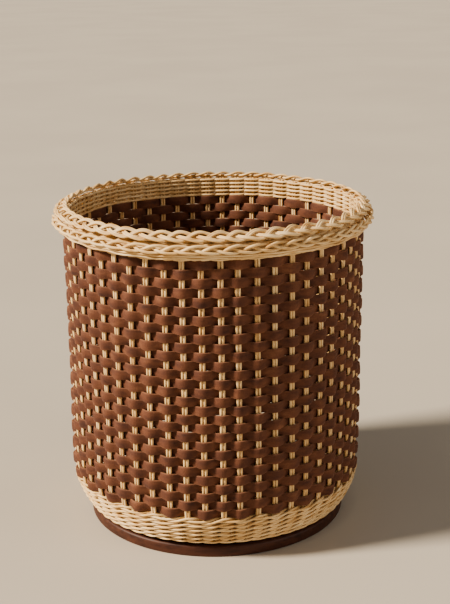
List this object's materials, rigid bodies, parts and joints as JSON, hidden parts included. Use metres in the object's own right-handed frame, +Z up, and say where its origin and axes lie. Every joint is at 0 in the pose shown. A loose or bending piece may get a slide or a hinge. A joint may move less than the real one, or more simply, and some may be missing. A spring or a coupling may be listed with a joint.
{
  "type": "woven storage bin",
  "caption": "Round open-topped storage bin woven from flat leather straps over paired reed stakes, with reed bands, a plaited reed border and a round wooden foot board.",
  "frame": {"origin": "middle of the underside of the foot board, where the bin stands", "axes": "+Z up along the bin's axis, -Y towards the front, +X to the right seen from the front"},
  "size_m": [0.372, 0.372, 0.3801],
  "materials": {
    "reed": "natural unvarnished reed",
    "strap": "matt brown suede leather",
    "foot": "brown stain, satin",
    "panel": "plain thin board, unvarnished"
  },
  "bodies": {
    "root": {"foot_board": "foot", "bottom_panel": "panel", "stake_loop_01": "reed", "stake_loop_02": "reed", "stake_loop_03": "reed", "stake_loop_04": "reed", "stake_loop_05": "reed", "stake_loop_06": "reed", "stake_loop_07": "reed", "stake_loop_08": "reed", "stake_loop_09": "reed", "stake_loop_10": "reed", "stake_loop_11": "reed", "stake_loop_12": "reed", "stake_loop_13": "reed", "stake_loop_14": "reed", "stake_loop_15": "reed", "stake_loop_16": "reed", "stake_loop_17": "reed", "stake_loop_18": "reed", "stake_loop_19": "reed", "stake_loop_20": "reed", "stake_loop_21": "reed", "stake_loop_22": "reed", "stake_loop_23": "reed", "stake_loop_24": "reed", "stake_loop_25": "reed", "stake_loop_26": "reed", "lower_wale": "reed", "strap_row_01": "strap", "strap_row_02": "strap", "strap_row_03": "strap", "strap_row_04": "strap", "strap_row_05": "strap", "strap_row_06": "strap", "strap_row_07": "strap", "strap_row_08": "strap", "strap_row_09": "strap", "strap_row_10": "strap", "strap_row_11": "strap", "strap_row_12": "strap", "strap_row_13": "strap", "strap_row_14": "strap", "strap_row_15": "strap", "strap_row_16": "strap", "strap_row_17": "strap", "strap_row_18": "strap", "strap_row_19": "strap", "strap_row_20": "strap", "strap_row_21": "strap", "strap_row_22": "strap", "strap_row_23": "strap", "strap_row_24": "strap", "strap_row_25": "strap", "strap_row_26": "strap", "strap_row_27": "strap", "strap_row_28": "strap", "strap_row_29": "strap", "upper_wale": "reed", "plaited_border": "reed"}
  },
  "joints": []
}
